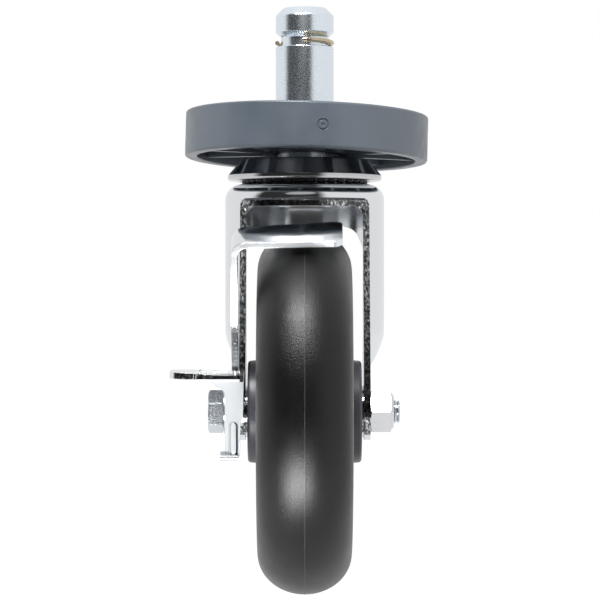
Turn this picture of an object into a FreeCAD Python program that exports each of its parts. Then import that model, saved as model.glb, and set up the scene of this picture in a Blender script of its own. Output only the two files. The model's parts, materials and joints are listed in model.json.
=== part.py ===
import FreeCAD, Part
import math
import os
from FreeCAD import Placement, Rotation, Vector

# Swivel stem caster with a bumper ring and a side brake, in millimetres.
# X runs along the wheel's axle, the wheel trails towards -Y, and +Z is up.
# Heights are measured up from the floor; save() then lowers every piece so that the
# origin is on the stem's axis, at the seat where the post's end stops just above the bumper.

# ---------------------------------------------------------------- driving dimensions
SEAT_HEIGHT = 170.0
BUMPER_TOP = 168.9
TRAIL = 35.0

WHEEL_RADIUS = 63.5
TREAD_HALF_WIDTH = 16.3
TREAD_CROWN = 14.0
CORE_RADIUS = 43.0
HUB_FACE = 16.6
HUB_CAP_FACE = 19.7

BOLT_RADIUS = 4.0
HEAD_ACROSS_FLATS = 13.0
NUT_ACROSS_FLATS = 14.0
HEAD_TURN = 35.5
NUT_TURN = 0.0
BOLT_HEAD_INNER = 28.0
BOLT_HEAD_OUTER = 33.5
BOLT_END = 33.0

SHEET = 2.3
FORK_TOP = 143.8
CUP_RADIUS = 28.5
SHOULDER_RADIUS = 5.6
LEG_INNER = 20.5
LIP_BOTTOM = 135.3
ARCH_TOP = 129.8
EAR_RADIUS = 10.0

STEM_RADIUS = 10.4
STEM_BASE_RADIUS = 9.9
STEM_TOP = 207.2
NECK_RADIUS = 8.5
NECK_BOTTOM = 193.2
KINGPIN_RADIUS = 6.0

RACE_TOP = 152.75
RACE_TRACK = 147.0
UPPER_BALL_RADIUS = 1.5
UPPER_BALL_ORBIT = 21.0
LOWER_BALL_RADIUS = 1.1
LOWER_BALL_ORBIT = 16.0
BALLS_PER_ROW = 36
LOWER_TRACK = 139.05

RING_WIRE = 1.5
RING_OUTER_RADIUS = 10.62
RING_GAP_START = -88.0
RING_GAP_END = -4.0
RING_TIP = 3.3

BUMPER_RADIUS = 43.5
BUMPER_HEIGHT = 16.2
BUMPER_WALL = 4.3
BUMPER_BORE = 11.6
BUMPER_HUB = 16.0
BUMPER_RIBS = 10
BUMPER_RIB_BOTTOM = 1.6
BUMPER_DROP_RIGHT = 1.5
BUMPER_RISE_FRONT = 3.1
BUMPER_SHIFT = 0.7
GATE_ANGLE = -82.6
GATE_RADIUS = 2.1

STRAP_OUTER = 25.05
STRAP_SHEET = 2.15
STRAP_LEAN = 25.0
SHOE_REACH = 66.1
SHOE_RISE = 2.5
SHOE_END = 12.9

LEVER_OUTER = 27.3
LEVER_INNER = 25.2
CAM_RADIUS = 8.6
CAM_OFFSET = 2.96

BEARING_OUTER = 14.0
BEARING_INNER = 6.0
BEARING_NEAR = 8.4
BEARING_FAR = 16.4

AXLE = Vector(0, -TRAIL, WHEEL_RADIUS)
LEG_OUTER = LEG_INNER + SHEET

# Local drawing planes: each turns the XY plane of an outline to face the named axis.
FACING_X = Rotation(Vector(0, 1, 0), Vector(0, 0, 1), Vector(1, 0, 0), "ZXY")
FACING_Y = Rotation(Vector(1, 0, 0), Vector(0, 0, 1), Vector(0, -1, 0), "ZXY")
RADIAL_X = Rotation(Vector(0, 0, 1), Vector(1, 0, 0), Vector(0, 1, 0), "ZXY")


# ---------------------------------------------------------------- drawing helpers
def outline(corners):
    """Flat face through (u, v) or (u, v, corner radius) points."""
    starts = []
    ends = []
    middles = []
    for index, corner in enumerate(corners):
        here = Vector(corner[0], corner[1], 0)
        following = corners[(index + 1) % len(corners)]
        to_before = (Vector(corners[index - 1][0], corners[index - 1][1], 0) - here).normalize()
        to_after = (Vector(following[0], following[1], 0) - here).normalize()
        radius = corner[2] if len(corner) > 2 else 0
        if radius == 0:
            starts.append(here)
            ends.append(here)
            middles.append(None)
            continue
        half = to_before.getAngle(to_after) / 2
        starts.append(here + to_before * (radius / math.tan(half)))
        ends.append(here + to_after * (radius / math.tan(half)))
        inward = (to_before + to_after).normalize()
        middles.append(here + inward * (radius / math.sin(half) - radius))
    edges = []
    for index, middle in enumerate(middles):
        if middle is not None:
            edges.append(Part.Arc(starts[index], middle, ends[index]).toShape())
        following = starts[(index + 1) % len(corners)]
        if ends[index].distanceToPoint(following) > 1e-6:
            edges.append(Part.LineSegment(ends[index], following).toShape())
    return Part.Face(Part.Wire(edges))


def turned(corners):
    """Solid turned about Z from (radius, height) corners."""
    face = outline(corners)
    face.Placement = Placement(Vector(), FACING_Y)
    return face.revolve(Vector(), Vector(0, 0, 1), 360)


def turned_on_axle(corners):
    """Solid turned about the wheel's axle from (radius, x) corners."""
    face = outline(corners)
    face.Placement = Placement(AXLE, RADIAL_X)
    return face.revolve(AXLE, Vector(1, 0, 0), 360)


def side_plate(corners, x_low, x_high):
    """Plate between two x planes from (y, z) corners."""
    face = outline(corners)
    face.Placement = Placement(Vector(x_low, 0, 0), FACING_X)
    return face.extrude(Vector(x_high - x_low, 0, 0))


def front_plate(corners, y_low, y_high):
    """Plate between two y planes from (x, z) corners."""
    face = outline(corners)
    face.Placement = Placement(Vector(0, y_low, 0), FACING_Y)
    return face.extrude(Vector(0, y_high - y_low, 0))


def disc_on_axle(radius, x_low, x_high, centre=AXLE):
    """Round bar along X."""
    base = Vector(x_low, centre.y, centre.z)
    return Part.makeCylinder(radius, x_high - x_low, base, Vector(1, 0, 0))


def ring_on_axle(inner, outer, x_low, x_high):
    """Washer or tube along X round the axle."""
    return disc_on_axle(outer, x_low, x_high).cut(disc_on_axle(inner, x_low, x_high))


def mirrored_pair(shape):
    """The solid and its mirror image in the plane x = 0."""
    return Part.makeCompound([shape, shape.mirror(Vector(), Vector(1, 0, 0))])


def orbit_points(orbit, height):
    """Centres of one row of balls round the swivel axis."""
    points = []
    for index in range(BALLS_PER_ROW):
        angle = 2 * math.pi * index / BALLS_PER_ROW
        points.append(Vector(orbit * math.cos(angle), orbit * math.sin(angle), height))
    return points


def ball_row(radius, orbit, height):
    """Balls standing in a circle round the swivel axis."""
    return Part.makeCompound([Part.makeSphere(radius, point) for point in orbit_points(orbit, height)])


def hexagon_bar(across_flats, turn, x_low, x_high):
    """Six-sided bar on the axle with both ends' corners bevelled."""
    corner_radius = across_flats / math.sqrt(3)
    corners = []
    for index in range(6):
        angle = math.radians(turn + 60 * index)
        corners.append((AXLE.y + corner_radius * math.cos(angle), AXLE.z + corner_radius * math.sin(angle)))
    bevel = 0.7
    flat = across_flats / 2 - 0.1
    limit = turned_on_axle([
        (0, x_low),
        (flat, x_low),
        (corner_radius + 0.3, x_low + bevel),
        (corner_radius + 0.3, x_high - bevel),
        (flat, x_high),
        (0, x_high),
    ])
    return side_plate(corners, x_low, x_high).common(limit)


def tangent_point(centre, radius, start, side):
    """Point (y, z) where a line from start touches a circle, on its side +1 or -1."""
    dy = centre.y - start[0]
    dz = centre.z - start[1]
    distance = math.hypot(dy, dz)
    spread = math.asin(radius / distance)
    angle = math.atan2(dz, dy) + side * spread
    length = math.sqrt(distance ** 2 - radius ** 2)
    return (start[0] + length * math.cos(angle), start[1] + length * math.sin(angle))


def save(name, shape):
    """Write one sub-part, lowered from floor heights to the row's origin."""
    lowered = shape.copy()
    lowered.translate(Vector(0, 0, -SEAT_HEIGHT))
    lowered.exportStep("parts/" + name + ".step")


# ---------------------------------------------------------------- stem and swivel head
def stem():
    """Plug that enters the post, with a ring groove and a blind bore for the kingpin."""
    body = turned([
        (0, RACE_TOP),
        (STEM_BASE_RADIUS, RACE_TOP, 0.5),
        (STEM_BASE_RADIUS, SEAT_HEIGHT),
        (STEM_RADIUS, SEAT_HEIGHT),
        (STEM_RADIUS, NECK_BOTTOM, 0.3),
        (NECK_RADIUS, NECK_BOTTOM, 0.3),
        (NECK_RADIUS, NECK_BOTTOM + 3.3, 0.3),
        (STEM_RADIUS, NECK_BOTTOM + 5.2, 0.4),
        (STEM_RADIUS, STEM_TOP - 2.8, 1.5),
        (7.6, STEM_TOP, 1.0),
        (0, STEM_TOP),
    ])
    return body.cut(Part.makeCylinder(KINGPIN_RADIUS, 24, Vector(0, 0, RACE_TOP)))


def kingpin():
    """Rivet with a flat head under the lower race."""
    return turned([
        (0, 135.85),
        (10.0, 135.85, 0.8),
        (10.0, 137.45),
        (KINGPIN_RADIUS, 137.45),
        (KINGPIN_RADIUS, 176.0, 1.0),
        (0, 176.0),
    ])


def upper_race():
    """Pressed dome whose underside is the upper ball track."""
    return turned([
        (KINGPIN_RADIUS, RACE_TOP),
        (22.6, RACE_TOP, 1.6),
        (27.6, 147.1, 0.9),
        (27.6, 145.2, 0.9),
        (23.6, 144.8, 0.4),
        (23.3, RACE_TRACK, 0.3),
        (19.0, RACE_TRACK, 0.3),
        (18.4, 150.4, 0.6),
        (KINGPIN_RADIUS, 150.4),
    ])


def lower_race():
    """Cup under the lower ball row."""
    return turned([
        (KINGPIN_RADIUS, 137.45),
        (19.6, 137.45, 1.2),
        (19.6, 140.7, 0.4),
        (18.2, 140.7, 0.4),
        (18.2, LOWER_TRACK, 0.3),
        (KINGPIN_RADIUS, LOWER_TRACK),
    ])


def ball_cage(radius, orbit, height, inner, outer, half_height):
    """Flat ring with one round pocket for each ball."""
    cage = turned([
        (inner, height - half_height),
        (outer, height - half_height),
        (outer, height + half_height),
        (inner, height + half_height),
    ])
    pockets = []
    for point in orbit_points(orbit, height - 5):
        pockets.append(Part.makeCylinder(radius + 0.1, 10, point))
    return cage.cut(Part.makeCompound(pockets))


def grip_ring():
    """Open ring of round wire lying slightly tipped in the stem's groove."""
    wire_radius = RING_WIRE / 2
    orbit = RING_OUTER_RADIUS - wire_radius
    section = Part.Face(Part.Wire(Part.makeCircle(wire_radius, Vector(orbit, 0, 0), Vector(0, 1, 0))))
    ring = section.revolve(Vector(), Vector(0, 0, 1), 360 + RING_GAP_START - RING_GAP_END)
    ring.rotate(Vector(), Vector(0, 0, 1), RING_GAP_END - 90)
    ring.rotate(Vector(), Vector(1, 0, 0), -RING_TIP)
    ring.translate(Vector(0, 0, NECK_BOTTOM + 1.45))
    return ring


def bumper():
    """Moulded ring: outer wall with a gate mark, flat top web, hub and ribs underneath."""
    web_bottom = BUMPER_HEIGHT - 3.5
    shell = turned([
        (BUMPER_BORE, BUMPER_RIB_BOTTOM, 0.5),
        (BUMPER_HUB, BUMPER_RIB_BOTTOM, 0.8),
        (BUMPER_HUB - 0.4, web_bottom, 0.8),
        (BUMPER_RADIUS - BUMPER_WALL - 0.4, web_bottom, 0.8),
        (BUMPER_RADIUS - BUMPER_WALL, 0, 0.5),
        (BUMPER_RADIUS, 0, 0.9),
        (BUMPER_RADIUS, BUMPER_HEIGHT, 0.7),
        (BUMPER_BORE, BUMPER_HEIGHT, 0.7),
    ])
    rib_start = BUMPER_HUB - 1.2
    rib_length = BUMPER_RADIUS - BUMPER_WALL + 0.6 - rib_start
    for index in range(BUMPER_RIBS):
        rib_height = web_bottom + 0.6 - BUMPER_RIB_BOTTOM
        rib = Part.makeBox(rib_length, 2.2, rib_height, Vector(rib_start, -1.1, BUMPER_RIB_BOTTOM))
        rib.rotate(Vector(), Vector(0, 0, 1), 12 + 360 * index / BUMPER_RIBS)
        shell = shell.fuse(rib)
    gate_start = Vector(BUMPER_RADIUS - 0.35, 0, BUMPER_HEIGHT / 2)
    across = Vector(1, 0, 0)
    gate = Part.makeCylinder(GATE_RADIUS, 2, gate_start, across)
    gate = gate.cut(Part.makeCylinder(GATE_RADIUS - 0.6, 2, gate_start, across))
    gate = gate.fuse(Part.makeCylinder(0.5, 2, gate_start, across))
    gate.rotate(Vector(), Vector(0, 0, 1), GATE_ANGLE)
    shell = shell.removeSplitter().cut(gate)
    shell.translate(Vector(0, 0, -BUMPER_HEIGHT / 2))
    shell.rotate(Vector(), Vector(0, 1, 0), BUMPER_DROP_RIGHT)
    shell.rotate(Vector(), Vector(1, 0, 0), -BUMPER_RISE_FRONT)
    shell.translate(Vector(BUMPER_SHIFT, 0, BUMPER_TOP - BUMPER_HEIGHT / 2))
    return shell


# ---------------------------------------------------------------- fork
def cup_solid(grown):
    """Outside (grown = 0) or inside (grown = -SHEET) of the drawn cup and its taper."""
    top = FORK_TOP + grown
    cup = CUP_RADIUS + grown
    waist = LEG_OUTER + grown
    return turned([
        (0, 68.0),
        (waist, 68.0),
        (waist, 71.8),
        (cup, 89.8, 12.0),
        (cup, top, SHOULDER_RADIUS + grown),
        (0, top),
    ])


def front_flange():
    """Lip turned forward from the cup's front wall, with corners that run into the legs."""
    brim = turned([
        (CUP_RADIUS - SHEET, LIP_BOTTOM),
        (CUP_RADIUS + 1.7, LIP_BOTTOM),
        (CUP_RADIUS + 1.7, LIP_BOTTOM + SHEET, 0.4),
        (CUP_RADIUS - 0.2, LIP_BOTTOM + SHEET, 1.4),
        (CUP_RADIUS - 0.2, LIP_BOTTOM + SHEET + 2.0),
        (CUP_RADIUS - SHEET, LIP_BOTTOM + SHEET + 2.0),
    ])
    frame = front_plate([
        (-LEG_OUTER, LIP_BOTTOM - 4),
        (LEG_OUTER, LIP_BOTTOM - 4),
        (LEG_OUTER, LIP_BOTTOM + SHEET + 1.4, 4.0),
        (-LEG_OUTER, LIP_BOTTOM + SHEET + 1.4, 4.0),
    ], -40, -16)
    return brim.common(frame)


def fork():
    """Cup, two legs that flatten into ears, front lip and rear arch in one pressing."""
    inside = cup_solid(-SHEET)
    cup = cup_solid(0).cut(inside)
    window = front_plate([
        (-LEG_INNER, 60),
        (LEG_INNER, 60),
        (LEG_INNER, LIP_BOTTOM, 3.5),
        (-LEG_INNER, LIP_BOTTOM, 3.5),
    ], -40, 0)
    cup = cup.cut(window)

    leg_top = (-20.0, 134.5)
    knee = (0.0, 89.8)
    front = tangent_point(AXLE, EAR_RADIUS, leg_top, -1)
    rear = tangent_point(AXLE, EAR_RADIUS, knee, 1)
    below = (rear[0] + 1.5 * (rear[0] - knee[0]), rear[1] + 1.5 * (rear[1] - knee[1]))
    leg_corners = [leg_top, (-14.0, 139.0), (2.0, 136.0), knee, rear, (AXLE.y, AXLE.z), front]
    pieces = [cup, front_flange()]
    for side in (-1, 1):
        x_low = min(side * LEG_INNER, side * LEG_OUTER)
        leg = side_plate(leg_corners, x_low, x_low + SHEET)
        ear = disc_on_axle(EAR_RADIUS, x_low, x_low + SHEET)
        pieces.append(leg.fuse(ear).cut(inside))
    body = pieces[0].fuse(pieces[1:])

    rear_cut = side_plate([
        (45.0, ARCH_TOP),
        (19.6, ARCH_TOP, 8.0),
        (knee[0], knee[1], 14.0),
        below,
        (45.0, below[1]),
    ], -45, 45)
    body = body.cut(rear_cut)
    body = body.cut(disc_on_axle(BOLT_RADIUS + 0.1, -40, 40))
    body = body.cut(Part.makeCylinder(KINGPIN_RADIUS + 0.6, 20, Vector(0, 0, FORK_TOP - 10)))
    return body.removeSplitter()


def dust_seal():
    """Felt ring that closes the swivel head inside the upper ball row."""
    return turned([(13.0, FORK_TOP), (17.4, FORK_TOP), (17.4, 150.0), (13.0, 150.0)])


# ---------------------------------------------------------------- axle
def axle_bolt():
    """Hex bolt with rings for its thread at the free end."""
    corners = [(0, -BOLT_HEAD_INNER), (BOLT_RADIUS, -BOLT_HEAD_INNER)]
    pitch = 1.25
    root = BOLT_RADIUS - 0.55
    turn_start = BOLT_END - 0.4 - 2 * pitch
    corners.append((BOLT_RADIUS, turn_start))
    for index in range(2):
        crest = turn_start + index * pitch
        corners.append((root, crest + pitch / 2))
        corners.append((BOLT_RADIUS, crest + pitch))
    corners += [(BOLT_RADIUS - 0.6, BOLT_END), (0, BOLT_END)]
    shank = turned_on_axle(corners)
    head = hexagon_bar(HEAD_ACROSS_FLATS, HEAD_TURN, -BOLT_HEAD_OUTER, -BOLT_HEAD_INNER)
    return shank.fuse(head).removeSplitter()


def lock_nut():
    """Hex nut with a rounded collar that holds a nylon insert."""
    collar = turned_on_axle([
        (0, 28.0),
        (6.2, 28.0),
        (6.2, 31.0, 1.2),
        (4.6, 31.0, 0.3),
        (4.6, 30.4),
        (0, 30.4),
    ])
    body = hexagon_bar(NUT_ACROSS_FLATS, NUT_TURN, LEG_OUTER, 30.1).fuse(collar)
    body = body.cut(disc_on_axle(5.2, 28.4, 30.4))
    return body.cut(disc_on_axle(BOLT_RADIUS, 20, 40))


def bearing_balls():
    """Ball row of the left bearing; the right one is its mirror image."""
    middle = (BEARING_NEAR + BEARING_FAR) / 2
    balls = []
    for index in range(8):
        angle = 2 * math.pi * index / 8
        centre = AXLE + Vector(-middle, 10 * math.cos(angle), 10 * math.sin(angle))
        balls.append(Part.makeSphere(2.1, centre))
    return Part.makeCompound(balls)


# ---------------------------------------------------------------- wheel
def tread():
    """Crowned tyre: half an ellipse across, flat sides, and a fine mould line."""
    rim = WHEEL_RADIUS - 0.1
    spring_line = rim - TREAD_CROWN
    across = Vector(1, 0, 0)
    outward = Vector(0, 0, 1)
    ellipse = Part.Ellipse(
        AXLE + across * TREAD_HALF_WIDTH + outward * spring_line,
        AXLE + outward * rim,
        AXLE + outward * spring_line,
    )
    crown = Part.ArcOfEllipse(ellipse, 0, math.pi).toShape()
    low_corner = AXLE + outward * CORE_RADIUS
    side_in = TREAD_HALF_WIDTH - 1.0
    corners = [
        crown.valueAt(crown.LastParameter),
        low_corner - across * side_in,
        low_corner + across * side_in,
        crown.valueAt(crown.FirstParameter),
    ]
    edges = [crown]
    for start, end in zip(corners, corners[1:]):
        edges.append(Part.LineSegment(start, end).toShape())
    tyre = Part.Face(Part.Wire(edges)).revolve(AXLE, across, 360)
    mould_line = turned_on_axle([
        (rim - 1.0, -0.3),
        (WHEEL_RADIUS, -0.15),
        (WHEEL_RADIUS, 0.15),
        (rim - 1.0, 0.3),
    ])
    return tyre.fuse(mould_line).removeSplitter()


def wheel_core():
    """Moulded centre with dished, ribbed faces and a bore for two bearings."""
    face = TREAD_HALF_WIDTH - 1.3
    dish = face - 5.0
    corners = [
        (CORE_RADIUS, -face, 0.4),
        (38.5, -face, 0.6),
        (37.5, -dish, 1.0),
        (19.5, -dish, 1.0),
        (19.0, -HUB_FACE, 0.4),
        (BEARING_OUTER, -HUB_FACE),
        (BEARING_OUTER, -BEARING_NEAR),
        (BEARING_OUTER - 2.5, -BEARING_NEAR),
    ]
    mirrored = [(corner[0], -corner[1]) + tuple(corner[2:]) for corner in reversed(corners)]
    core = turned_on_axle(corners + mirrored)
    for index in range(10):
        rib = Part.makeBox(2 * face - 1.0, 2.4, 19.6, Vector(0.5 - face, AXLE.y - 1.2, AXLE.z + 18.6))
        rib.rotate(AXLE, Vector(1, 0, 0), 360 * index / 10)
        core = core.fuse(rib)
    return core.removeSplitter()


def hub_cap():
    """Thread guard on the left of the hub; the right one is its mirror image."""
    return turned_on_axle([
        (9.6, -HUB_FACE),
        (17.9, -HUB_FACE),
        (17.6, -HUB_CAP_FACE, 1.1),
        (9.6, -HUB_CAP_FACE, 0.5),
    ])


# ---------------------------------------------------------------- brake
def brake_strap():
    """Arm outside the left leg, bent over the tyre as a shoe; the cam turns in its eye."""
    rise = math.tan(math.radians(SHOE_RISE))
    inner = -STRAP_OUTER + STRAP_SHEET
    low_inner = SHOE_REACH + inner * rise
    low_outer = SHOE_REACH + SHOE_END * rise
    profile = outline([
        (0, -STRAP_OUTER),
        (0, inner),
        (low_inner, inner, 3.0),
        (low_outer, SHOE_END),
        (low_outer + STRAP_SHEET, SHOE_END - STRAP_SHEET * rise),
        (low_inner + STRAP_SHEET - STRAP_SHEET * rise, -STRAP_OUTER, 3.0 + STRAP_SHEET),
    ])
    profile.Placement = Placement(Vector(), RADIAL_X)
    pressing = profile.revolve(Vector(), Vector(1, 0, 0), 360)
    arm = side_plate([
        (-7.5, 0),
        (7.5, 0),
        (6.75, 62),
        (-6.75, 62),
    ], -40, 0)
    eye = Part.makeCylinder(12.0, 40, Vector(-40, -3.1, 0), Vector(1, 0, 0))
    shoe = outline([
        (-40, -6.75),
        (-STRAP_OUTER + 4, -6.75),
        (SHOE_END, -8.3, 3.0),
        (SHOE_END, 8.7, 3.0),
        (-STRAP_OUTER + 4, 6.75),
        (-40, 6.75),
    ]).extrude(Vector(0, 0, 20))
    shoe.translate(Vector(0, 0, 62))
    strap = pressing.common(arm.fuse([eye, shoe]))
    slot = side_plate([
        (-11.9, -8.8, 8.79),
        (6.5, -8.8, 8.79),
        (6.5, 8.8, 8.79),
        (-11.9, 8.8, 8.79),
    ], -40, 0)
    strap = strap.cut(slot)
    strap.rotate(Vector(), Vector(1, 0, 0), STRAP_LEAN)
    strap.translate(AXLE)
    return strap


def brake_lever():
    """Side plate on the bolt, web across the front, pedal on top and a beaded prong below."""
    web_back = -52.0
    web_front = web_back - 2.1
    side = side_plate([
        (AXLE.y, AXLE.z - 9.5, 9.0),
        (AXLE.y + 9.5, AXLE.z - 9.5, 9.0),
        (AXLE.y + 9.5, AXLE.z + 9.5, 9.0),
        (AXLE.y, AXLE.z + 9.5),
        (web_back, 74.0),
        (web_front, 74.0),
        (web_front, 50.0, 1.0),
        (web_back + 4.0, 50.0, 3.0),
    ], -LEVER_OUTER, -LEVER_INNER)
    web = front_plate([
        (-LEVER_OUTER, 58.0),
        (-LEVER_OUTER, 71.0, 3.0),
        (-31.5, 73.5, 1.5),
        (-31.5, 77.0),
        (-20.8, 77.0, 2.5),
        (-21.2, 60.5, 1.0),
        (-24.0, 60.5, 1.0),
        (-24.0, 58.0),
    ], web_front, web_back)
    prong = front_plate([
        (-LEVER_OUTER, 66.0),
        (-LEVER_OUTER, 49.0),
        (-25.6, 48.2, 0.5),
        (-22.1, 48.2, 1.2),
        (-21.9, 66.0),
    ], web_front, web_back)
    lip = side_plate([
        (web_back, 48.2),
        (web_back, 50.4),
        (web_front - 2.5, 49.2, 0.8),
        (web_front - 2.5, 47.2, 0.8),
    ], -28.9, -22.6)
    pedal = outline([
        (-20.7, web_back, 1.5),
        (-20.7, -72.5, 2.5),
        (-36.5, -72.5, 1.0),
        (-37.5, -70.5, 1.0),
        (-45.7, -70.5, 4.0),
        (-45.7, -56.0, 4.0),
        (-38.0, web_back, 1.0),
    ]).extrude(Vector(0, 0, 2.1))
    for index in range(9):
        ridge = Part.makeBox(14.0, 0.9, 0.45, Vector(-36.0, -71.0 + 2.0 * index, 2.0))
        pedal = pedal.fuse(ridge)
    pedal.rotate(Vector(-20.7, web_back, 0), Vector(0, 1, 0), 2.4)
    pedal.rotate(Vector(-20.7, web_back, 0), Vector(1, 0, 0), 3.0)
    pedal.translate(Vector(0, 0, 75.6))
    bead = turned([
        (0, 48.8),
        (1.8, 48.8, 1.7),
        (1.8, 60.9, 1.7),
        (0, 60.9),
    ])
    bead.translate(Vector(-24.4, web_front + 0.5, 0))
    body = side.fuse([web, prong, bead, lip, pedal])
    return body.cut(disc_on_axle(BOLT_RADIUS + 0.08, -40, 0)).removeSplitter()


def brake_cam():
    """Eccentric disc fixed to the lever's inner face."""
    lean = math.radians(STRAP_LEAN)
    centre = AXLE + Vector(0, -CAM_OFFSET * math.cos(lean), -CAM_OFFSET * math.sin(lean))
    disc = disc_on_axle(CAM_RADIUS, -LEVER_INNER, -LEG_OUTER - 0.2, centre)
    return disc.cut(disc_on_axle(BOLT_RADIUS + 0.08, -40, 0))


# ---------------------------------------------------------------- write every sub-part
os.makedirs("parts", exist_ok=True)

save("stem", stem())
save("kingpin", kingpin())
save("upper_race", upper_race())
save("lower_race", lower_race())
save("grip_ring", grip_ring())
save("bumper", bumper())

upper_height = (FORK_TOP + RACE_TRACK) / 2
lower_height = (LOWER_TRACK + FORK_TOP - SHEET) / 2
save("upper_balls", ball_row(UPPER_BALL_RADIUS, UPPER_BALL_ORBIT, upper_height))
save("upper_ball_cage", ball_cage(UPPER_BALL_RADIUS, UPPER_BALL_ORBIT, upper_height, 18.4, 22.5, 1.15))
save("lower_balls", ball_row(LOWER_BALL_RADIUS, LOWER_BALL_ORBIT, lower_height))
save("lower_ball_cage", ball_cage(LOWER_BALL_RADIUS, LOWER_BALL_ORBIT, lower_height, 14.0, 17.8, 0.85))

save("fork", fork())
save("dust_seal", dust_seal())
save("axle_bolt", axle_bolt())
save("lock_nut", lock_nut())
save("lock_nut_insert", ring_on_axle(BOLT_RADIUS, 5.2, 29.4, 30.4))
save("lever_washer", ring_on_axle(BOLT_RADIUS + 0.1, 7.6, -BOLT_HEAD_INNER, -LEVER_OUTER - 0.15))
save("axle_sleeve", ring_on_axle(BOLT_RADIUS + 0.1, BEARING_INNER, -LEG_INNER, LEG_INNER))
save("spacer_left", ring_on_axle(BEARING_INNER, 9.0, -LEG_INNER, -BEARING_FAR))
save("spacer_right", ring_on_axle(BEARING_INNER, 9.0, BEARING_FAR, LEG_INNER))

inner_ring = ring_on_axle(BEARING_INNER, 8.3, -BEARING_FAR, -BEARING_NEAR)
outer_ring = ring_on_axle(11.7, BEARING_OUTER, -BEARING_FAR, -BEARING_NEAR)
ball_groove = Part.makeTorus(10.0, 2.2, AXLE - Vector(12.4, 0, 0), Vector(1, 0, 0))
shield = ring_on_axle(8.6, 11.7, -BEARING_FAR, -BEARING_FAR + 0.4)
save("bearing_inner_rings", mirrored_pair(inner_ring.cut(ball_groove)))
save("bearing_outer_rings", mirrored_pair(outer_ring.cut(ball_groove)))
save("bearing_balls", mirrored_pair(bearing_balls()))
save("bearing_shields", mirrored_pair(shield))

save("tread", tread())
save("wheel_core", wheel_core())
save("hub_cap_left", hub_cap())
save("hub_cap_right", hub_cap().mirror(Vector(), Vector(1, 0, 0)))

save("brake_strap", brake_strap())
save("brake_lever", brake_lever())
save("brake_cam", brake_cam())
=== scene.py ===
import json
import math

import bpy
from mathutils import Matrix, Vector


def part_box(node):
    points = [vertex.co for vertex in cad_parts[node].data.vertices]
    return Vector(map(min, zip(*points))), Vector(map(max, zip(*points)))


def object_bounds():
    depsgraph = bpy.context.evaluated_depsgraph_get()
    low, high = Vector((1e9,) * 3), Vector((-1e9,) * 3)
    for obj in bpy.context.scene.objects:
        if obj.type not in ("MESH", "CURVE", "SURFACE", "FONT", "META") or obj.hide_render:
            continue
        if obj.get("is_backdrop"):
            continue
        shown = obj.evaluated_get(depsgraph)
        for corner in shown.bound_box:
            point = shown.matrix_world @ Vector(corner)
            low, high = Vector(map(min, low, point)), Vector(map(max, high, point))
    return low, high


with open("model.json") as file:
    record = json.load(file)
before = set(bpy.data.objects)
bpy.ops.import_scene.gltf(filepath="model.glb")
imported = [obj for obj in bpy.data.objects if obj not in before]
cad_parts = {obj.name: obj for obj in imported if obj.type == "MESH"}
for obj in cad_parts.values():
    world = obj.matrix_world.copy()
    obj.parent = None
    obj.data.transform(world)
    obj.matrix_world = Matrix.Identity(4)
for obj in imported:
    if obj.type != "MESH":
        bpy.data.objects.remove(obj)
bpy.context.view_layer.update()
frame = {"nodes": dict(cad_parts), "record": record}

# The row frame is in metres: +X along the axle, -Y towards the camera, +Z up the stem.
MM = 0.001
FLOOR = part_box("tread")[0][2]
SENSOR = 36.0
CAMERA_DISTANCE = 1100 * MM
CAMERA_HEIGHT = 98.8 * MM
LENS = 183.7
SHIFT_X = -4.7 / 600
SHIFT_Y = 10.0 / 600
SURROUND = 0.84
GAP_LEVEL = 0.03
GAP_LEFT = (-86, -68)
GAP_RIGHT = (36, 19)
GAP_TOP = (0.97, 0.90)
GAP_FLOOR = (-135 * MM, -240 * MM)
FLOOR_REACH = 30.0


# ---------------------------------------------------------------- camera, floor and light
def add_camera():
    data = bpy.data.cameras.new("camera")
    data.lens = LENS
    data.sensor_width = SENSOR
    data.shift_x = SHIFT_X
    data.shift_y = SHIFT_Y
    data.clip_start = 0.01
    camera = bpy.data.objects.new("camera", data)
    camera.location = (0, -CAMERA_DISTANCE, FLOOR + CAMERA_HEIGHT)
    camera.rotation_euler = (math.radians(90), 0, 0)
    bpy.context.collection.objects.link(camera)
    bpy.context.scene.camera = camera


class Tree:
    """Node helpers that the surroundings and the materials share."""

    def __init__(self, tree):
        self.nodes = tree.nodes
        self.links = tree.links

    def maths(self, operation, first, second):
        node = self.nodes.new("ShaderNodeMath")
        node.operation = operation
        for socket, value in zip(node.inputs, (first, second)):
            if isinstance(value, (int, float)):
                socket.default_value = value
            else:
                self.links.new(value, socket)
        return node.outputs[0]


class Studio(Tree):
    """The floor and the sky are both white with a dark gap in front."""

    def ramp(self, value, low, high):
        node = self.nodes.new("ShaderNodeMapRange")
        node.interpolation_type = "SMOOTHSTEP"
        self.links.new(value, node.inputs["Value"])
        node.inputs["From Min"].default_value = low
        node.inputs["From Max"].default_value = high
        return node.outputs["Result"]

    def split(self, output):
        coordinates = self.nodes.new("ShaderNodeTexCoord")
        parts = self.nodes.new("ShaderNodeSeparateXYZ")
        self.links.new(coordinates.outputs[output], parts.inputs[0])
        return parts.outputs

    def front_gap(self, parts):
        """1 inside the dark sector, measured in azimuth from -Y and positive to the right."""
        azimuth = self.maths("ARCTAN2", parts["X"], self.maths("MULTIPLY", parts["Y"], -1.0))
        left = self.ramp(azimuth, *map(math.radians, GAP_LEFT))
        right = self.ramp(azimuth, *map(math.radians, GAP_RIGHT))
        return self.maths("MULTIPLY", left, right)

    def brightness(self, gap):
        """White paper for the camera; what the object reflects is greyer and has the gap."""
        level = self.maths("SUBTRACT", SURROUND, self.maths("MULTIPLY", gap, SURROUND - GAP_LEVEL))
        seen = self.nodes.new("ShaderNodeLightPath").outputs["Is Camera Ray"]
        return self.maths("MAXIMUM", level, seen)


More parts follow.
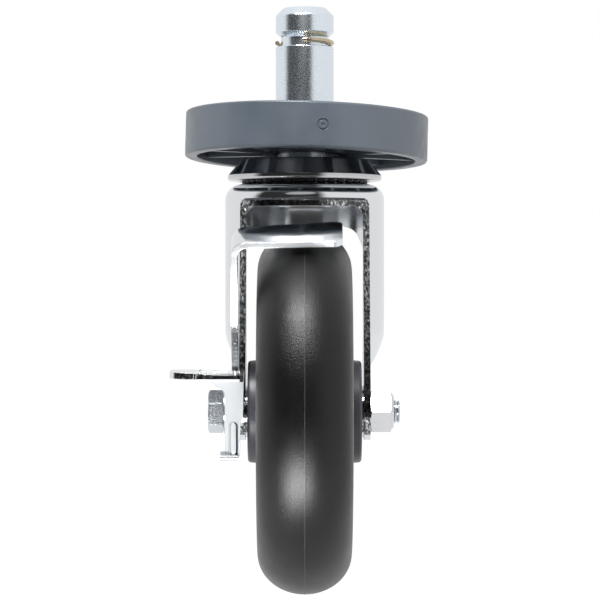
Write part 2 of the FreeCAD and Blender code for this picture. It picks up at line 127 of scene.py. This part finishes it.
def add_floor():
    """Self-lit white sweep; in front of the object its reflection falls off to dark."""
    mesh = bpy.data.meshes.new("floor")
    signs = [(-1, -1), (1, -1), (1, 1), (-1, 1)]
    corners = [(x * FLOOR_REACH, y * FLOOR_REACH, FLOOR) for x, y in signs]
    mesh.from_pydata(corners, [], [(0, 1, 2, 3)])
    floor = bpy.data.objects.new("floor", mesh)
    bpy.context.collection.objects.link(floor)
    paint = bpy.data.materials.new("floor_paper")
    paint.use_nodes = True
    shader = paint.node_tree.nodes["Principled BSDF"]
    shader.inputs["Base Color"].default_value = (0.05, 0.05, 0.05, 1)
    shader.inputs["Specular IOR Level"].default_value = 0.0
    shader.inputs["Roughness"].default_value = 1.0
    shader.inputs["Emission Color"].default_value = (1, 1, 1, 1)
    studio = Studio(paint.node_tree)
    parts = studio.split("Object")
    far = studio.ramp(parts["Y"], *GAP_FLOOR)
    gap = studio.maths("MULTIPLY", studio.front_gap(parts), far)
    studio.links.new(studio.brightness(gap), shader.inputs["Emission Strength"])
    mesh.materials.append(paint)
    floor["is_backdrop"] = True


def add_world():
    """White sky with the same dark gap, closed at the top by light from above."""
    world = bpy.data.worlds.new("studio")
    bpy.context.scene.world = world
    world.use_nodes = True
    studio = Studio(world.node_tree)
    parts = studio.split("Generated")
    below_top = studio.ramp(parts["Z"], *GAP_TOP)
    gap = studio.maths("MULTIPLY", studio.front_gap(parts), below_top)
    background = world.node_tree.nodes["Background"]
    studio.links.new(studio.brightness(gap), background.inputs["Strength"])
    background.inputs["Color"].default_value = (1, 1, 1, 1)


def add_softbox(name, place, aim, size, power):
    data = bpy.data.lights.new(name, "AREA")
    data.shape = "RECTANGLE"
    data.size = size[0]
    data.size_y = size[1]
    data.energy = power
    lamp = bpy.data.objects.new(name, data)
    lamp.location = place
    lamp.rotation_euler = (Vector(aim) - Vector(place)).to_track_quat("-Z", "Y").to_euler()
    lamp.visible_camera = False
    bpy.context.collection.objects.link(lamp)
    return lamp


add_camera()
add_floor()
add_world()
middle = (0, 0, (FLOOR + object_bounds()[1][2]) / 2)
glow_place = (-0.014, -0.13, FLOOR + 0.002)
glow_aim = (-0.008, -0.115, FLOOR + 0.1)
card_place = (-0.022, -0.2, FLOOR + 0.265)
card_aim = (-0.022, 0, FLOOR + 0.265)
add_softbox("softbox_top", (-0.13, -0.48, 0.72), middle, (0.50, 0.14), 12)
add_softbox("floor_glow", glow_place, glow_aim, (0.05, 0.05), 0.17)
card = add_softbox("front_card", card_place, card_aim, (0.17, 0.10), 0.017)
card.data.shape = "ELLIPSE"
card.visible_diffuse = False
fill = add_softbox("fill", (-0.25, -1.0, 0.05), middle, (0.6, 0.6), 3.2)
fill.visible_glossy = False
bpy.context.scene.view_settings.view_transform = "Standard"


# ---------------------------------------------------------------- materials
class Paint(Tree):
    """A material being built: one Principled shader and the nodes that vary it."""

    def __init__(self, name, colour, roughness, metallic=0.0):
        self.material = bpy.data.materials.new(name)
        self.material.use_nodes = True
        super().__init__(self.material.node_tree)
        self.shader = self.nodes["Principled BSDF"]
        self.shader.inputs["Metallic"].default_value = metallic
        self.shader.inputs["Base Color"].default_value = (*colour, 1)
        self.shader.inputs["Roughness"].default_value = roughness
        coordinates = self.nodes.new("ShaderNodeTexCoord")
        self.place = coordinates.outputs["Object"]
        self.facing = coordinates.outputs["Normal"]
        self.normal = None

    def noise(self, scale, detail=3.0, stretch=(1, 1, 1), distortion=0.0):
        mapping = self.nodes.new("ShaderNodeMapping")
        mapping.inputs["Scale"].default_value = stretch
        self.links.new(self.place, mapping.inputs["Vector"])
        node = self.nodes.new("ShaderNodeTexNoise")
        node.inputs["Scale"].default_value = scale
        node.inputs["Detail"].default_value = detail
        node.inputs["Distortion"].default_value = distortion
        self.links.new(mapping.outputs["Vector"], node.inputs["Vector"])
        return node.outputs["Fac"]

    def spread(self, value, low, high, start=0.3, end=0.7):
        node = self.nodes.new("ShaderNodeMapRange")
        self.links.new(value, node.inputs["Value"])
        node.inputs["From Min"].default_value = start
        node.inputs["From Max"].default_value = end
        node.inputs["To Min"].default_value = low
        node.inputs["To Max"].default_value = high
        return node.outputs["Result"]

    def within(self, vector, axis, low, high):
        """1 where one coordinate of the vector lies between two limits."""
        parts = self.nodes.new("ShaderNodeSeparateXYZ")
        self.links.new(vector, parts.inputs[0])
        above = self.maths("GREATER_THAN", parts.outputs[axis], low)
        return self.maths("MULTIPLY", above, self.maths("LESS_THAN", parts.outputs[axis], high))

    def sheared_edges(self, region, colour, height):
        """Torn grain on the sheet's cut faces inside a region: fine bumps, and near-black patches
        that are partly the tear's pits and partly painted dark reflection of the cut faces.
        """
        torn = self.noise(1500, 5.0, (1, 1, 0.45), 0.8)
        # Darkens much of the cut face: the tear's pits together with painted dark reflection.
        pits_and_painted_reflection = self.maths("MULTIPLY", self.spread(torn, 1.0, 0.1, 0.46, 0.66), region)
        self.vary_colour(pits_and_painted_reflection, colour, tuple(channel * 0.08 for channel in colour), 0.0, 1.0)
        self.bump(self.maths("MULTIPLY", torn, region), height)

    def vary_roughness(self, value, low, high):
        self.links.new(self.spread(value, low, high), self.shader.inputs["Roughness"])

    def vary_colour(self, value, dark, light, start=0.3, end=0.7):
        node = self.nodes.new("ShaderNodeMix")
        node.data_type = "RGBA"
        sockets = [socket for socket in node.inputs if socket.type == "RGBA"]
        sockets[0].default_value = (*dark, 1)
        sockets[1].default_value = (*light, 1)
        self.links.new(self.spread(value, 0, 1, start, end), node.inputs["Factor"])
        output = [socket for socket in node.outputs if socket.type == "RGBA"][0]
        self.links.new(output, self.shader.inputs["Base Color"])

    def soften_edges(self, radius):
        node = self.nodes.new("ShaderNodeBevel")
        node.samples = 4
        node.inputs["Radius"].default_value = radius
        self.normal = node.outputs["Normal"]
        self.links.new(self.normal, self.shader.inputs["Normal"])

    def bump(self, value, height, strength=1.0):
        node = self.nodes.new("ShaderNodeBump")
        node.inputs["Strength"].default_value = strength
        node.inputs["Distance"].default_value = height
        self.links.new(value, node.inputs["Height"])
        if self.normal is not None:
            self.links.new(self.normal, node.inputs["Normal"])
        self.normal = node.outputs["Normal"]
        self.links.new(self.normal, self.shader.inputs["Normal"])


def plated_steel(name, colour, low, high, ripple, edge=0.25 * MM):
    """Bright zinc plate: slight ripple from pressing, drawn grain and small haze."""
    paint = Paint(name, colour, low, 1.0)
    paint.soften_edges(edge)
    haze = paint.noise(90, 4.0)
    grain = paint.noise(1400, 3.0)
    paint.vary_roughness(haze, low, high)
    dull = tuple(channel * 0.94 for channel in colour)
    paint.vary_colour(grain, dull, colour)
    paint.bump(paint.noise(55, 2.0), ripple)
    paint.bump(grain, 0.002 * MM)
    return paint


def fork_plate():
    """Plated pressing whose sheared front edges are left torn below the cup's lip, with dark
    patches in the tear that are partly painted dark reflection.
    """
    colour = (0.81, 0.83, 0.85)
    paint = plated_steel("fork_steel", colour, 0.09, 0.16, 0.04 * MM)
    forward = paint.within(paint.facing, "Y", -2.0, -0.62)
    low = paint.within(paint.place, "Z", -1.0, -0.0322)
    ahead = paint.within(paint.place, "Y", -1.0, 0.0)
    cut = paint.maths("MULTIPLY", paint.maths("MULTIPLY", forward, low), ahead)
    paint.sheared_edges(cut, colour, 0.04 * MM)
    return paint.material


def brake_plate():
    """Plated pressings: torn pedal edge whose dark patches are partly painted dark reflection, and
    a duller, paler, nearly non-metallic surface on the lever's flat web that paints the plated
    web's bright reflection.
    """
    colour = (0.83, 0.85, 0.87)
    paint = plated_steel("brake_steel", colour, 0.08, 0.16, 0.05 * MM)
    forward = paint.within(paint.facing, "Y", -2.0, -0.85)
    ahead = paint.within(paint.place, "Y", -1.0, -0.0515)
    pedal = paint.within(paint.place, "Z", -0.0945, -0.088)
    web = paint.within(paint.place, "Z", -0.1215, -0.0945)
    front = paint.maths("MULTIPLY", forward, ahead)
    paint.sheared_edges(paint.maths("MULTIPLY", front, pedal), colour, 0.12 * MM)
    # Painted reflection: the front of the flat web turns nearly non-metallic, so its pale base
    # colour stands in for the plated web's bright reflection.
    pale_web_painted_reflection = paint.maths("MULTIPLY", front, web)
    paint.links.new(paint.spread(pale_web_painted_reflection, 1.0, 0.15, 0.0, 1.0), paint.shader.inputs["Metallic"])
    return paint.material


def speckled_steel(name, colour):
    """Zinc-plated steel with the crystalline speckle of the plate: fine, rough, bluish grains."""
    paint = Paint(name, colour, 0.2, 0.97)
    paint.soften_edges(0.25 * MM)
    speckle = paint.noise(2400, 3.0)
    paint.vary_roughness(speckle, 0.13, 0.33)
    paint.vary_colour(speckle, colour, (colour[0] * 0.84, colour[1] * 0.90, colour[2] * 0.95))
    paint.bump(speckle, 0.02 * MM)
    paint.bump(paint.noise(130, 3.0), 0.006 * MM)
    return paint.material


def moulded_plastic(name, dark, light, roughness, grain, gloss):
    """Moulded plastic: faint flow mottling and a fine even grain."""
    paint = Paint(name, light, roughness)
    paint.shader.inputs["Specular IOR Level"].default_value = gloss
    paint.soften_edges(0.2 * MM)
    paint.vary_colour(paint.noise(45, 4.0, distortion=0.6), dark, light)
    paint.vary_roughness(paint.noise(160, 3.0), roughness - 0.06, roughness + 0.08)
    paint.bump(paint.noise(2600, 2.0), grain)
    paint.bump(paint.noise(70, 2.0), grain * 2)
    return paint.material


def tread_rubber():
    """Satin thermoplastic rubber with a fine pebble, dusty patches and a pale moulding seam."""
    paint = Paint("tread_rubber", (0.02, 0.02, 0.02), 0.42)
    paint.shader.inputs["Specular IOR Level"].default_value = 0.38
    dust = paint.maths("MULTIPLY", paint.noise(38, 5.0, distortion=0.5), 0.45)
    seam = paint.within(paint.place, "X", -0.17 * MM, 0.17 * MM)
    pale = paint.maths("MAXIMUM", dust, seam)
    paint.vary_colour(pale, (0.002, 0.002, 0.0022), (0.026, 0.026, 0.025), 0.22, 1.0)
    paint.vary_roughness(paint.noise(60, 4.0), 0.29, 0.38)
    paint.bump(paint.noise(2800, 2.0), 0.11 * MM)
    paint.bump(paint.noise(160, 2.0), 0.03 * MM)
    return paint.material


def hardware(name, colour, low, high, ripple, edge=0.25 * MM):
    return plated_steel(name, colour, low, high, ripple, edge).material


MATERIALS = {
    "stem_steel": speckled_steel("stem_steel", (0.86, 0.90, 0.94)),
    "bolt_steel": speckled_steel("bolt_steel", (0.72, 0.74, 0.77)),
    "fork_steel": fork_plate(),
    "brake_steel": brake_plate(),
    "race_steel": hardware("race_steel", (0.62, 0.62, 0.64), 0.1, 0.16, 0.01 * MM),
    "nut_steel": hardware("nut_steel", (0.76, 0.77, 0.79), 0.16, 0.26, 0.06 * MM),
    "ring_steel": hardware("ring_steel", (0.60, 0.50, 0.34), 0.15, 0.25, 0.01 * MM, 0.05 * MM),
    # Dark ball colour: partly grease on the balls, partly painted shade of the gap between race and
    # fork.
    "ball_steel": hardware("ball_steel", (0.36, 0.36, 0.37), 0.05, 0.09, 0.0005 * MM, 0.02 * MM),
    "bearing_steel": hardware("bearing_steel", (0.64, 0.64, 0.66), 0.1, 0.16, 0.002 * MM, 0.1 * MM),
    "tread_rubber": tread_rubber(),
}
# slot: dark and light colour, roughness, height of the grain, gloss
PLASTICS = {
    "cage_plastic": ((0.012, 0.012, 0.013), (0.02, 0.02, 0.022), 0.5, 0.01 * MM, 0.5),
    "seal_felt": ((0.02, 0.02, 0.02), (0.04, 0.04, 0.04), 0.85, 0.08 * MM, 0.5),
    "nylon": ((0.70, 0.70, 0.66), (0.78, 0.78, 0.75), 0.35, 0.01 * MM, 0.5),
    "bumper_plastic": ((0.077, 0.096, 0.119), (0.090, 0.111, 0.134), 0.34, 0.006 * MM, 0.9),
    "core_plastic": ((0.035, 0.035, 0.038), (0.05, 0.05, 0.053), 0.42, 0.01 * MM, 0.5),
    "hub_cap_plastic": ((0.052, 0.052, 0.064), (0.066, 0.066, 0.080), 0.4, 0.008 * MM, 0.5),
}
for slot, values in PLASTICS.items():
    MATERIALS[slot] = moulded_plastic(slot, *values)

slots = {entry["node"]: entry["material_slot"] for entry in frame["record"]["subparts"]}
for node, piece in frame["nodes"].items():
    piece.data.materials.clear()
    piece.data.materials.append(MATERIALS[slots[node]])
